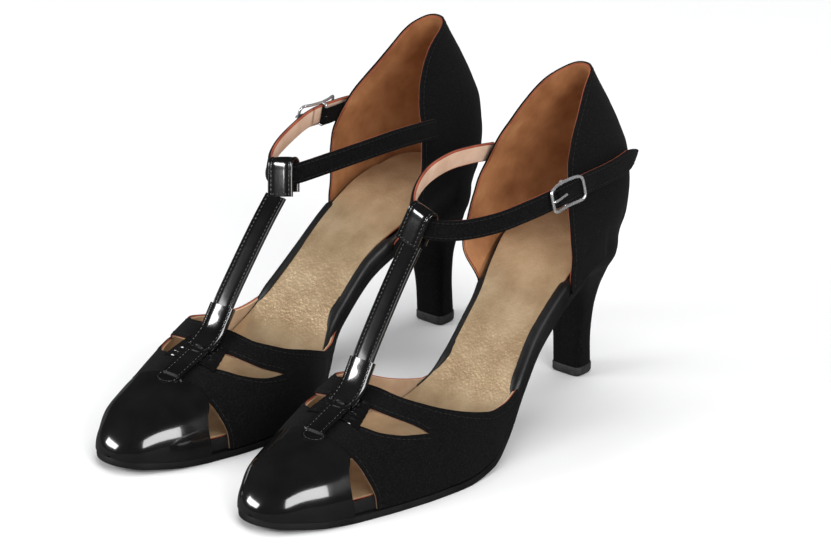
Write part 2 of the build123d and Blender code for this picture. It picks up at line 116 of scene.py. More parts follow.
def curve(points, column):
    """Smooth curve through a table, as a function of its first column."""
    at = [row[0] for row in points]
    value = [row[column] for row in points]
    last = len(at) - 1
    secant = [(value[i + 1] - value[i]) / (at[i + 1] - at[i]) for i in range(last)]
    slope = [secant[0]]
    for before, after in zip(secant, secant[1:]):
        slope.append(0 if before * after <= 0 else 2 * before * after / (before + after))
    slope.append(secant[-1])

    def read(x):
        x = min(max(x, at[0]), at[-1])
        i = max(j for j in range(last) if at[j] <= x)
        step = at[i + 1] - at[i]
        t = (x - at[i]) / step
        return (
            (2 * t**3 - 3 * t**2 + 1) * value[i]
            + (t**3 - 2 * t**2 + t) * step * slope[i]
            + (3 * t**2 - 2 * t**3) * value[i + 1]
            + (t**3 - t**2) * step * slope[i + 1]
        )

    return read


inner_x = curve(OUTLINE, 1)
outer_x = curve(OUTLINE, 2)
ground_z = curve(OUTLINE, 3)
ridge_z = curve(RIDGE, 1)
cup_half = curve(CUP, 1)
cup_back = curve(CUP, 2)
heel_x0 = curve(HEEL, 1)
heel_x1 = curve(HEEL, 2)
heel_y0 = curve(HEEL, 3)
heel_y1 = curve(HEEL, 4)


def toe_factor(y):
    """Rounds widths and heights off to nothing at the tip of the toe."""
    if y >= TOE_ROUND:
        return 1.0
    t = max((y - TOE) / (TOE_ROUND - TOE), 0.0)
    return sqrt(max(1 - (1 - t) ** 2.2, 0.0))


def sole_middle(y):
    return (outer_x(y) + inner_x(y)) / 2


def sole_half(y):
    return (outer_x(y) - inner_x(y)) / 2


def signed_power(value, power):
    return copysign(abs(value) ** power, value)


def edge_x(y, side):
    """Edge of the sole in plan: side 1 is the outer edge, side -1 the inner one."""
    if y > SEAT_ROUND:
        deep = (y - SEAT_ROUND) / (SEAT_BACK - SEAT_ROUND)
        return side * SEAT_HALF * sqrt(max(1 - deep**2.2, 0))
    return sole_middle(y) + side * sole_half(y) * toe_factor(y)


FORE_SIDE_POWER = 0.82
FORE_TOP_POWER = 0.86
RIDGE_CENTRING = 0.6      # share by which the ridge leaves the sole's middle for x = 0


def fore(y, angle, lift=0.0):
    """Point of the forepart, angle 0 at the outer edge and pi at the inner one."""
    side = signed_power(cos(angle), FORE_SIDE_POWER)
    up = max(sin(angle), 0.0) ** FORE_TOP_POWER
    swell = toe_factor(y)
    base = ground_z(y) + SOLE + SEAT_GAP
    rise = (ridge_z(y) - base) * swell
    x = sole_middle(y) * (1 - RIDGE_CENTRING * up) + sole_half(y) * swell * side
    point = Vector((x, y, base + rise * up))
    if lift:
        point = point + fore_normal(y, angle) * lift
    return point


def fore_normal(y, angle):
    step = 0.02
    a = min(max(angle, step), pi - step)
    yy = max(y, TOE + 0.4)
    along = fore(yy + 0.3, a) - fore(yy - 0.3, a)
    over = fore(yy, a + step) - fore(yy, a - step)
    return along.cross(over).normalized()


RING_STEPS = 48
FOOT_FADE = 17            # height over which the cup's foot is drawn in to the sole
BACK_FADE = 8             # and the run at the back over which it no longer is


def cup_ring(z):
    """Plan of the heel cup at height z, from the outer front round to the inner one."""
    half = cup_half(z)
    back = cup_back(z)
    power = 0.61 + 0.16 * min(max((z - 70) / 28, 0.0), 1.0)
    ring = [Vector((half, CUP_START, z))]
    for i in range(RING_STEPS + 1):
        a = pi * i / RING_STEPS
        deep = max(sin(a), 0.0) ** power
        ring.append(Vector((half * signed_power(cos(a), power), CUP_FRONT + (back - CUP_FRONT) * deep, z)))
    ring.append(Vector((-half, CUP_START, z)))
    return ring


def ease(t):
    t = min(max(t, 0.0), 1.0)
    return t * t * (3 - 2 * t)


def drawn_in(p):
    """The foot of the cup is drawn in to the edge of the sole."""
    side = 1 if p.x > 0 else -1
    low = 1 - ease((p.z - ground_z(p.y) - SOLE) / FOOT_FADE)
    hold = low * (1 - ease((p.y - 136) / BACK_FADE))
    want = edge_x(p.y, side) + side * 0.3
    return Vector((p.x + (want - p.x) * hold, p.y, p.z))


_rings = {}


def measured_ring(z):
    """Ring at z to the nearest 0.1, and each point's distance from the back seam, outer side negative."""
    key = round(z, 1)
    if key not in _rings:
        ring = np.array(cup_ring(key))
        run = run_along(ring)
        _rings[key] = (ring, run - run[len(ring) // 2])
    return _rings[key]


def cup(u, z):
    """Point of the heel cup: u is the distance round from the back seam, outer side positive."""
    ring, run = measured_ring(z)
    return drawn_in(Vector((np.interp(-u, run, ring[:, 0]), np.interp(-u, run, ring[:, 1]), z)))


def cup_u(y, z, side):
    """Distance round the heel cup at which it reaches y."""
    ring, run = measured_ring(z)
    half = len(ring) // 2
    part = slice(0, half + 1) if side > 0 else slice(len(ring), half - 1, -1)
    return -float(np.interp(y, ring[part, 1], run[part]))


# --- Mesh making
class Solid:
    """Vertices, faces and each face's material index, in the shoe's frame."""

    def __init__(self):
        self.verts = []
        self.faces = []
        self.mats = []

    def add(self, verts, faces, mat=0):
        base = len(self.verts)
        self.verts += [Vector(v) for v in verts]
        self.faces += [tuple(base + i for i in face) for face in faces]
        if isinstance(mat, int):
            self.mats += [mat] * len(faces)
        else:
            self.mats += list(mat)
        return self


def catmull(points, per):
    """Catmull-Rom path through points, each a tuple, with per steps between them."""
    pts = [np.array(p, float) for p in points]
    pts = [2 * pts[0] - pts[1]] + pts + [2 * pts[-1] - pts[-2]]
    fine = []
    for i in range(1, len(pts) - 2):
        a, b, c, d = pts[i - 1 : i + 3]
        for k in range(per):
            t = k / per
            fine.append(0.5 * (2 * b + (c - a) * t + (2 * a - 5 * b + 4 * c - d) * t**2
                               + (3 * b - a - 3 * c + d) * t**3))
    return fine + [pts[-2]]


def smooth_path(points, count):
    """Smooth path through points, resampled evenly."""
    return resample(catmull(points, 12), count)


def beside(line, i):
    """The points before and after point i of an open line."""
    return line[max(i - 1, 0)], line[min(i + 1, len(line) - 1)]


def run_along(points):
    """Distance run at each point of a path."""
    return np.concatenate([[0], np.cumsum(np.linalg.norm(np.diff(np.array(points), axis=0), axis=1))])


def resample(fine, count):
    fine = np.array(fine)
    run = run_along(fine)
    want = np.linspace(0, run[-1], count)
    return [tuple(np.interp(w, run, fine[:, k]) for k in range(fine.shape[1])) for w in want]


def inside(points, loop):
    """Which points lie inside a closed loop."""
    x = points[:, 0]
    y = points[:, 1]
    hit = np.zeros(len(points), bool)
    for (x1, y1), (x2, y2) in zip(loop, loop[1:] + loop[:1]):
        if y1 == y2:
            continue
        cross = (y1 > y) != (y2 > y)
        hit ^= cross & (x < (x2 - x1) * (y - y1) / (y2 - y1) + x1)
    return hit


def flat_mesh(outline, holes, step):
    """Triangles that fill a plane outline with holes, with even inner points."""
    loops = [outline] + holes
    edge_points = np.array([p for loop in loops for p in loop])
    low = edge_points.min(0)
    high = edge_points.max(0)
    rows = []
    row = 0
    y = low[1]
    while y < high[1]:
        shift = step / 2 if row % 2 else 0
        rows += [(x, y) for x in np.arange(low[0] + shift, high[0], step)]
        y += step * 0.866
        row += 1
    grid = np.array(rows)
    keep = inside(grid, outline)
    for hole in holes:
        keep &= ~inside(grid, hole)
    grid = grid[keep]
    far = np.ones(len(grid), bool)
    for p in edge_points:
        far &= ((grid - p) ** 2).sum(1) > (step * 0.62) ** 2
    grid = grid[far]
    coords = [Vector(p) for p in edge_points] + [Vector(p) for p in grid]
    edges = []
    base = 0
    for loop in loops:
        n = len(loop)
        edges += [(base + i, base + (i + 1) % n) for i in range(n)]
        base += n
    verts, _, faces, _, _, _ = delaunay_2d_cdt(coords, edges, [], 0, 1e-5)
    flat = np.array([(v.x, v.y) for v in verts])
    centres = np.array([flat[list(f)].mean(0) for f in faces])
    good = inside(centres, outline)
    for hole in holes:
        good &= ~inside(centres, hole)
    return flat, [tuple(f) for f, g in zip(faces, good) if g]


def vertex_normals(verts, faces):
    normals = [Vector() for _ in verts]
    for f in faces:
        n = (verts[f[1]] - verts[f[0]]).cross(verts[f[-1]] - verts[f[0]])
        for i in f:
            normals[i] = normals[i] + n
    return [n.normalized() if n.length > 1e-12 else Vector((0, 0, 1)) for n in normals]


def flipped(faces):
    return [tuple(reversed(face)) for face in faces]


def thicken(verts, faces, thick, mats=(0, 1, 2), bulge=0.18):
    """Closed solid from a sheet: outside, rounded rim and inside, with their materials.
    The sheet's faces look outwards and the solid grows inwards."""
    normals = vertex_normals(verts, faces)
    edges = dict.fromkeys(edge for f in faces for edge in zip(f, f[1:] + f[:1]))
    rim = [(a, b) for a, b in edges if (b, a) not in edges]
    outward = {}
    for a, b in rim:
        d = (verts[b] - verts[a]).normalized()
        for i in (a, b):
            outward[i] = outward.get(i, Vector()) + d.cross(normals[i])
    solid = Solid().add(verts, faces, mats[0])
    base_in = len(solid.verts)
    solid.add([v - n * thick for v, n in zip(verts, normals)], flipped(faces), mats[2])
    index = {}
    for i, d in outward.items():
        index[i] = len(solid.verts)
        middle = verts[i] - normals[i] * thick * 0.45
        solid.verts.append(middle + d.normalized() * bulge)
    for a, b in rim:
        solid.faces += [(b, a, index[a], index[b]), (index[b], index[a], base_in + a, base_in + b)]
        solid.mats += mats[:2]
    return solid


def panel(surface, outline, holes, step, thick, mats=(0, 1, 2), flip=False, bulge=0.18):
    """Leather panel cut from a curved surface by outlines in the surface's own u, v."""
    flat, faces = flat_mesh(outline, holes, step)
    verts = [surface(u, v) for u, v in flat]
    return thicken(verts, flipped(faces) if flip else faces, thick, mats, bulge)


def grid_faces(rows, columns, closed=False):
    faces = []
    wide = columns if closed else columns - 1
    for i in range(rows - 1):
        for j in range(wide):
            k = (j + 1) % columns
            faces.append((i * columns + j, i * columns + k, (i + 1) * columns + k, (i + 1) * columns + j))
    return faces


def ended_grid(rows, columns):
    """Faces of a pile of rings, with a face over each end."""
    last = (rows - 1) * columns
    ends = [tuple(reversed(range(columns))), tuple(last + k for k in range(columns))]
    return grid_faces(rows, columns, closed=True) + ends


def tube(points, radius, sides=10, closed=False, squash=1.0, up=Vector((0, 0, 1))):
    """Round wire along points. radius may be a function of the share of the way along."""
    count = len(points)
    verts = []
    for i, p in enumerate(points):
        before, after = (points[i - 1], points[(i + 1) % count]) if closed else beside(points, i)
        along = (after - before).normalized()
        side = up.cross(along).normalized()
        top = along.cross(side).normalized()
        r = radius(i / max(count - 1, 1)) if callable(radius) else radius
        for k in range(sides):
            a = 2 * pi * k / sides
            verts.append(p + side * (cos(a) * r) + top * (sin(a) * r * squash))
    if not closed:
        return Solid().add(verts, ended_grid(count, sides))
    last = (count - 1) * sides
    join = [(last + k, last + (k + 1) % sides, (k + 1) % sides, k) for k in range(sides)]
    return Solid().add(verts, grid_faces(count, sides, closed=True) + join)


STITCH_SHARE = 0.78       # thread against gap
STITCH_SIDES = 6
STITCH_SINK = 0.05
STITCH_RINGS = ((-1, 0.35), (-0.8, 0.8), (0, 1.0), (0.8, 0.8), (1, 0.35))     # place along it, thickness


def stitches(solid, path, normals, pitch, radius):
    """Row of separate thread stitches lying along a path."""
    count = max(2, int(run_along(path)[-1] / pitch))
    both = [tuple(p) + tuple(n) for p, n in zip(path, normals)]
    line = resample(both, count * 4 + 1)
    for k in range(count):
        part = line[k * 4 : k * 4 + 5]
        start = Vector(part[0][:3])
        end = Vector(part[-1][:3])
        n = Vector(part[2][3:]).normalized()
        d = end - start
        middle = (start + end) / 2
        half = d * (STITCH_SHARE / 2)
        side = d.cross(n).normalized()
        rings = []
        for t, size in STITCH_RINGS:
            centre = middle + half * t + n * (radius * (0.5 * size) - STITCH_SINK)
            for j in range(STITCH_SIDES):
                a = 2 * pi * j / STITCH_SIDES
                rings.append(centre + side * (cos(a) * radius * size) + n * (sin(a) * radius * size * 0.9))
        solid.add(rings, ended_grid(len(STITCH_RINGS), STITCH_SIDES))


# --- Materials: every one is a node graph in object coordinates, millimetres
def rgba(r, g, b):
    return (r, g, b, 1.0)


class Finish:
    """Small helper that wires a principled shader with noise, ramps and bump."""

    def __init__(self, name):
        self.mat = bpy.data.materials.new(name)
        self.mat.use_nodes = True
        self.tree = self.mat.node_tree
        self.shader = self.tree.nodes["Principled BSDF"]
        where = self.tree.nodes.new("ShaderNodeTexCoord")
        self.mm = self.scaled(where.outputs["Object"], (1000.0, 1000.0, 1000.0))
        self.last_bump = None

    def link(self, a, b):
        self.tree.links.new(a, b)

    def scaled(self, source, by):
        node = self.tree.nodes.new("ShaderNodeVectorMath")
        node.operation = "MULTIPLY"
        node.inputs[1].default_value = by
        self.link(source, node.inputs[0])
        return node.outputs[0]

    def set(self, **values):
        for key, value in values.items():
            self.shader.inputs[key.replace("_", " ")].default_value = value
        return self

    def noise(self, size, detail=3.0, rough=0.55, stretch=None):
        """Noise whose features are about size millimetres."""
        node = self.tree.nodes.new("ShaderNodeTexNoise")
        node.inputs["Scale"].default_value = 1.0 / size
        node.inputs["Detail"].default_value = detail
        node.inputs["Roughness"].default_value = rough
        source = self.mm
        if stretch:
            source = self.scaled(self.mm, stretch)
        self.link(source, node.inputs["Vector"])
        return node.outputs["Fac"]

    def cells(self, size):
        node = self.tree.nodes.new("ShaderNodeTexVoronoi")
        node.inputs["Scale"].default_value = 1.0 / size
        self.link(self.mm, node.inputs["Vector"])
        return node.outputs["Distance"]

    def ramp(self, source, stops):
        node = self.tree.nodes.new("ShaderNodeValToRGB")
        ramp = node.color_ramp
        while len(ramp.elements) < len(stops):
            ramp.elements.new(0.5)
        for element, (at, color) in zip(ramp.elements, stops):
            element.position = at
            element.color = color
        self.link(source, node.inputs["Fac"])
        return node.outputs["Color"]

    def span(self, source, low, high):
        node = self.tree.nodes.new("ShaderNodeMapRange")
        node.inputs["To Min"].default_value = low
        node.inputs["To Max"].default_value = high
        self.link(source, node.inputs["Value"])
        return node.outputs["Result"]

    def bump(self, source, strength, distance):
        node = self.tree.nodes.new("ShaderNodeBump")
        node.inputs["Strength"].default_value = strength
        node.inputs["Distance"].default_value = distance * MM
        self.link(source, node.inputs["Height"])
        if self.last_bump:
            self.link(self.last_bump, node.inputs["Normal"])
        self.last_bump = node.outputs["Normal"]
        self.link(self.last_bump, self.shader.inputs["Normal"])

    def color(self, source):
        self.link(source, self.shader.inputs["Base Color"])

    def rough(self, source):
        self.link(source, self.shader.inputs["Roughness"])


def grey(v):
    return rgba(v, v * 0.98, v)


def material(name, stops, mottle, rough, wear, bumps, **settings):
    """Noise mottles the colour through stops, noise varies the roughness, and bumps are chained.
    mottle, wear and a bump's pattern are arguments of noise; a bare number there is a size of cells."""
    f = Finish(name).set(**settings)
    f.color(f.ramp(f.noise(*mottle), stops))
    f.rough(f.span(f.noise(*wear), *rough))
    for pattern, strength, depth in bumps:
        f.bump(f.noise(*pattern) if isinstance(pattern, tuple) else f.cells(pattern), strength, depth)
    return f.mat


def make_patent(name, wave=0.10, coat=1.0, blur=0.03):
    return material(name, [(0.35, grey(0.0035)), (0.7, grey(0.007))], (20,), (0.12, 0.22), (6,),
                    [((14, 2), wave, 0.5), ((0.9, 2), 0.02, 0.08)],
                    Specular_IOR_Level=0.55 * coat, Coat_Weight=coat, Coat_Roughness=blur, Coat_IOR=1.5)


def make_leather(name, stops, rough, grain=0.25, spec=0.4):
    return material(name, stops, (14, 4), rough, (4,), [(0.7, grain, 0.08), ((6, 3), 0.15, 0.4)],
                    Specular_IOR_Level=spec)


def make_thread(name, shine, rough):
    return material(name, [(0.3, grey(0.006)), (0.7, grey(0.016))], (1.5,), (rough, rough + 0.2), (1,),
                    [((0.25, 2, 0.5, (3, 1, 1)), 0.3, 0.06)], Specular_IOR_Level=shine)


TAN = [(0.3, rgba(0.26, 0.105, 0.040)), (0.55, rgba(0.38, 0.17, 0.070)), (0.8, rgba(0.50, 0.26, 0.120))]
BLUSH = [(0.3, rgba(0.55, 0.36, 0.25)), (0.7, rgba(0.72, 0.52, 0.40))]
BEIGE = [(0.3, rgba(0.34, 0.21, 0.13)), (0.55, rgba(0.44, 0.30, 0.19)), (0.8, rgba(0.54, 0.39, 0.26))]
RAW = [(0.3, rgba(0.20, 0.035, 0.02)), (0.7, rgba(0.38, 0.10, 0.05))]
BLACK = [(0.3, grey(0.005)), (0.7, grey(0.012))]
NAP = [(0.35, grey(0.0015)), (0.52, grey(0.0045)), (0.7, grey(0.013))]
GILT = [(0.3, rgba(0.42, 0.285, 0.16)), (0.55, rgba(0.55, 0.40, 0.24)), (0.8, rgba(0.70, 0.54, 0.35))]
PLATE = [(0.3, rgba(0.72, 0.73, 0.75)), (0.7, rgba(0.86, 0.86, 0.87))]

SUEDE = material("suede", NAP, (0.7, 8, 0.75), (0.82, 1.0), (12, 4),
                 [((1.1, 6, 0.7), 0.35, 0.25), ((0.35, 3, 0.7), 0.45, 0.12)], Specular_IOR_Level=0.05,
                 Sheen_Weight=0.05, Sheen_Roughness=0.5, Sheen_Tint=rgba(0.5, 0.5, 0.52))
PATENT = make_patent("patent")
GATHERED = make_patent("patent_gathered", 0.3)
WORN_PATENT = make_patent("patent_strap", 0.2, 0.4, 0.22)
GOLD = material("gold_leather", GILT, (16, 5), (0.28, 0.44), (3,),
                [(1.3, 0.5, 0.2), ((3.2, 5, 0.65, (1.0, 0.5, 0.5)), 0.5, 0.7)],
                Metallic=0.55, Specular_IOR_Level=0.7)
LINING = make_leather("lining_leather", TAN, (0.5, 0.65))
BLUSH_LINING = make_leather("strap_lining", BLUSH, (0.5, 0.65))
VAMP_LINING = make_leather("vamp_lining", BEIGE, (0.45, 0.6))
RAW_EDGE = make_leather("raw_edge", RAW, (0.55, 0.75))
WRAP = make_leather("black_leather", BLACK, (0.34, 0.5), 0.2, 0.45)
SOLE_LEATHER = make_leather("sole_leather", BLACK, (0.4, 0.6), 0.15, 0.35)
NICKEL = material("nickel", PLATE, (3,), (0.16, 0.3), (0.8, 4, 0.6, (1, 8, 1)),
                  [((0.5, 4, 0.6, (1, 10, 1)), 0.05, 0.03)], Metallic=0.8, Specular_IOR_Level=0.8)
RUBBER = material("heel_rubber", [(0.3, grey(0.022)), (0.7, grey(0.04))], (2, 5), (0.5, 0.7), (1.5,),
                  [((0.5, 3), 0.2, 0.08)], Specular_IOR_Level=0.35)
THREAD = make_thread("thread", 0.2, 0.6)
WAXED_THREAD = make_thread("waxed_thread", 0.8, 0.2)

# --- Placing: each piece is drawn once and made for both shoes
tip_low, tip_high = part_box("left_top_piece")
TIP_CENTRE_X = (HEEL[0][1] + HEEL[0][2]) / 2
TIP_RIM = 0.3
LEFT_AT = Vector((
    (tip_low.x + tip_high.x) / 2 / MM - TIP_CENTRE_X,
    tip_low.y / MM - (HEEL[0][3] - TIP_RIM),
    0,
))
RIGHT_AT = LEFT_AT + Vector((-SPREAD, STAGGER, 0))
PLACES = {
    "left": Matrix.Translation(LEFT_AT),
    "right": Matrix.Translation(RIGHT_AT) @ Matrix.Rotation(YAW, 4, "Z") @ Matrix.Scale(-1, 4, (1, 0, 0)),
}


def world(point, side):
    """A point of the shoe's own frame, in metres in the pair's frame."""
    return PLACES[side] @ point * MM


def place(name, data):
    thing = bpy.data.objects.new(name, data)
    bpy.context.scene.collection.objects.link(thing)
    return thing


def make(name, solid, materials, nodes=(), sharp=50, body="shoe", bend=None):
    """Build a piece for each shoe and let it ride on its body, or, when bend ends are given, leave it on no
    body.
    """
    for side in ("left", "right"):
        mesh = bpy.data.meshes.new(f"{side}_{name}")
        faces = solid.faces if side == "left" else flipped(solid.faces)
        mesh.from_pydata([world(v, side) for v in solid.verts], [], faces)
        for finish in materials:
            mesh.materials.append(finish)
        mesh.polygons.foreach_set("material_index", solid.mats)
        mesh.shade_smooth()
        mesh.update()
        mesh.set_sharp_from_angle(angle=radians(sharp))
        piece = place(f"{side}_{name}_piece", mesh)
        if bend:
            start, end = (world(point, side) for point in bend)
            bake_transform(piece)
            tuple(start)
            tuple(end)
        else:
            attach(piece, f"{side}_{body}")
        if nodes:
            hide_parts(*[f"{side}_{n}" for n in nodes])


# --- Forepart
ANGLE_MM = 30.0 / (pi / 2) * 1.35     # millimetres of surface per radian, for even meshes


def fore_sheet(lift):
    def surface(u, v):
        return fore(v, u / ANGLE_MM, lift)
    return surface


def flatten(points):
    """(y, degrees) points as plane coordinates of the forepart."""
    return [(radians(a) * ANGLE_MM, y) for y, a in points]


TOPLINE_OUT = ((-12.2, 90), (-10.6, 69), (-4.8, 53), (4.4, 40), (20, 26), (37.8, 13), (50, 5))
TOPLINE_IN = ((-12.2, 90), (-11.6, 107), (-9.3, 118), (-0.6, 134), (13.7, 148), (30, 164), (44, 176.5))
WINDOW_TOP_OUT = ((-22.3, 79), (-20.6, 67), (-17.8, 56), (-14, 46), (-9, 34))
WINDOW_LOW_OUT = ((-9, 34), (-16.6, 40), (-22.4, 46), (-28.6, 57), (-32, 71))
WINDOW_TOP_IN = ((-23.0, 103), (-20.3, 119), (-15.4, 134), (-6.5, 148))
WINDOW_LOW_IN = ((-6.5, 148), (-17.2, 141), (-26, 128), (-31.9, 110))
VAMP_FRONT_OUT = ((-41.2, 0.3), (-41.4, 8), (-42, 14), (-43.4, 27), (-44.2, 41), (-44.6, 52))
VAMP_FRONT_IN = ((-44.6, 131), (-43.9, 146), (-42.6, 160), (-42, 167), (-41.5, 179.7))
CAP_BACK = ((-52.2, 0), (-52.6, 14), (-52, 27), (-49.7, 41), (-45.6, 54), (-45, 69), (-44.4, 82),
            (-44.2, 95), (-44.2, 110), (-44.6, 125), (-45.4, 133), (-49.2, 146), (-51, 160),
            (-51, 168), (-51, 180))
SEAM_UNDER = 2.6          # the vamp runs this far under the cap's back edge
EDGE_ANGLE = 0.3          # the vamp stops this short of the sole, in degrees
LOOP_STEP = 1.3


def closed_loop(parts):
    """One closed plane loop from smooth runs, in order."""
    loop = []
    for run in parts:
        flat = flatten(run)
        count = max(2, round(run_along(flat)[-1] / LOOP_STEP) + 1)
        loop += (smooth_path(flat, count) if len(flat) > 2 else resample(flat, count))[:-1]
    return loop


def vamp_outline():
    under = [(y - SEAM_UNDER, a) for y, a in CAP_BACK if 54 <= a <= 133]
    low = EDGE_ANGLE
    high = 180 - EDGE_ANGLE
    return closed_loop([
        ((VAMP_END, low), (VAMP_FRONT_OUT[0][0], low)),
        VAMP_FRONT_OUT,
        (VAMP_FRONT_OUT[-1], under[0]),
        under,
        (under[-1], VAMP_FRONT_IN[0]),
        VAMP_FRONT_IN,
        ((VAMP_FRONT_IN[-1][0], high), (VAMP_END, high)),
        ((VAMP_END, high), TOPLINE_IN[-1]),
        TOPLINE_IN[::-1],
        TOPLINE_OUT,
        (TOPLINE_OUT[-1], (VAMP_END, low)),
    ])


def windows():
    outer = closed_loop([WINDOW_TOP_OUT, WINDOW_LOW_OUT, (WINDOW_LOW_OUT[-1], WINDOW_TOP_OUT[0])])
    inner = closed_loop([WINDOW_TOP_IN, WINDOW_LOW_IN, (WINDOW_LOW_IN[-1], WINDOW_TOP_IN[0])])
    return [outer, inner]


def build_vamp():
    solid = panel(fore_sheet(0), vamp_outline(), windows(), 1.5, 1.0, flip=True)
    make("vamp", solid, [SUEDE, RAW_EDGE, VAMP_LINING], ["vamp"])
    lining = panel(fore_sheet(-1.15), vamp_outline(), windows(), 2.2, 0.7, (0, 0, 0), flip=True, bulge=0.05)
    make("vamp_lining", lining, [VAMP_LINING], ["vamp_lining"])


def build_cap():
    rows = 34
    columns = 61
    back = curve([(a, y) for y, a in CAP_BACK], 1)
    verts = []
    for i in range(rows):
        for j in range(columns):
            angle = pi * j / (columns - 1)
            end = back(angle * 180 / pi)
            t = 1 - cos(pi / 2 * (i + 0.02) / (rows - 1 + 0.02))
            y = TOE + 0.02 + (end - TOE - 0.02) * t
            verts.append(fore(y, angle, 0.45 if i > 0 else 0.0))
    faces = grid_faces(rows, columns)
    solid = thicken(verts, flipped(faces), 1.3)
    make("toe_cap", solid, [PATENT, PATENT, LINING], ["toe_cap", "toe_puff"])


def build_side_bands():
    """Wrapped insole edge seen at the foot of the small side windows."""
    solid = Solid()
    for low, high in ((EDGE_ANGLE, 10), (170, 180 - EDGE_ANGLE)):
        loop = closed_loop([((-56, low), (-36, low)), ((-36, low), (-36, high)),
                            ((-36, high), (-56, high)), ((-56, high), (-56, low))])
        band = panel(fore_sheet(-1.9), loop, [], 1.2, 1.4, (0, 0, 0), flip=True)
        solid.add(band.verts, band.faces)
    make("window_band", solid, [WRAP])


def build_throat():
    """Gathered patent between the crescent windows: real folds, pinched to the keeper."""
    rows = 44
    columns = 64
    verts = []
    for i in range(rows):
        y = -34.0 + 13.0 * i / (rows - 1)
        for j in range(columns):
            low = 69.5 + 8 * i / (rows - 1)
            high = 111.5 - 7 * i / (rows - 1)
            angle = radians(low + (high - low) * j / (columns - 1))
            across = abs(j / (columns - 1) - 0.5) * 2
            fold = sin(y * 2.6 + 1.3 * noise.noise(Vector((across * 3, y * 0.4, 1.7))))
            crumple = noise.noise(Vector((angle * 14, y * 0.9, 4.2)))
            height = 0.65 + (0.30 * fold + 0.4 * crumple) * min(1, across * 1.6) * (1 - across**6)
            verts.append(fore(y, angle, height))
    solid = thicken(verts, flipped(grid_faces(rows, columns)), 0.8, (0, 0, 0))
    make("throat_underlay", solid, [GATHERED], ["throat_underlay"])


def fore_line(points, count, shift):
    """3-D line and normals over the forepart from (y, degrees) points; shift moves it sideways."""
    flat = smooth_path(flatten(points), count)
    path = []
    normals = []
    for i, (u, v) in enumerate(flat):
        a, b = beside(flat, i)
        d = Vector((b[0] - a[0], b[1] - a[1])).normalized()
        y = v + d.x * shift
        angle = min(max((u - d.y * shift) / ANGLE_MM, 0.01), pi - 0.01)
        path.append(fore(y, angle))
        normals.append(fore_normal(y, angle))
    return path, normals


def build_forepart_stitches():
    solid = Solid()
    rows = (
        (TOPLINE_OUT, 1.5), (TOPLINE_IN, -1.5), (WINDOW_TOP_OUT, -1.4), (WINDOW_LOW_OUT, -1.4),
        (WINDOW_TOP_IN, 1.4), (WINDOW_LOW_IN, 1.4), (VAMP_FRONT_OUT, 1.4), (VAMP_FRONT_IN, 1.4),
    )
    for line, shift in rows:
        path, normals = fore_line(line, 40, shift)
        stitches(solid, path, normals, 2.3, 0.22)
    make("vamp_stitches", solid, [THREAD])


# --- Bottom
OUTSOLE_END = 106         # the outsole stops under the front of the heel
PLAN_STEPS = 110
EDGE_STEP = 2.2


def plan_loop(inset):
    """Closed plan outline of the sole, moved inwards."""
    front = TOE + 0.02
    back = SEAT_BACK - 0.02
    ys = [front + (back - front) * (1 - cos(pi * (i / PLAN_STEPS))) / 2 for i in range(PLAN_STEPS + 1)]
    outer = [Vector((edge_x(y, 1), y)) for y in ys]
    inner = [Vector((edge_x(y, -1), y)) for y in ys]
    loop = outer + inner[::-1][1:-1]
    moved = []
    n = len(loop)
    for i, p in enumerate(loop):
        d = (loop[(i + 1) % n] - loop[i - 1]).normalized()
        moved.append((p.x - d.y * inset, p.y + d.x * inset))
    moved.append(moved[0])
    return resample(moved, round(run_along(moved)[-1] / EDGE_STEP))[:-1]


def order_cut(loop):
    """Start a cut loop at the gap, so that its closing edge runs across the cut."""
    n = len(loop)
    jump = max(range(n), key=lambda i: (Vector(loop[(i + 1) % n]) - Vector(loop[i])).length)
    turned = loop[jump + 1 :] + loop[: jump + 1]
    closing = [turned[-1], turned[0]]
    return turned[:-1] + resample(closing, round(run_along(closing)[-1] / EDGE_STEP) + 1)[:-1]


def build_outsole():
    loop = order_cut([p for p in plan_loop(0.0) if p[1] < OUTSOLE_END])

    def under(x, y):
        return Vector((x, y, ground_z(y)))

    solid = panel(under, loop, [], 3.0, -SOLE, (0, 1, 0), bulge=0.25)
    make("outsole", solid, [SOLE_LEATHER, SOLE_LEATHER], ["outsole", "forepart_filler"])


def sock_height(x, y):
    """The sock is dished, more so under the heel, and lightly creased in front of it."""
    t = min(abs(x - sole_middle(y)) / sole_half(y), 1.0)
    dish = -(0.5 + 0.6 * ease((y - 70) / 30)) * (1 - t**2)
    wrinkle = 0.0
    if -40 < y < 45:
        fade = max(0.0, 1 - abs(y - 5) / 42)
        wrinkle = 0.45 * fade * noise.noise(Vector((x * 0.07, y * 0.16, 2.0)))
    return ground_z(y) + SOCK_TOP + dish + wrinkle


def build_sock():
    loop = plan_loop(3.7)

    def top(x, y):
        return Vector((x, y, sock_height(x, y)))

    solid = panel(top, loop, [], 2.0, 0.9, (0, 1, 1), bulge=0.1)
    make("sock_lining", solid, [GOLD, RAW_EDGE], ["sock_lining", "insole_board", "shank"])


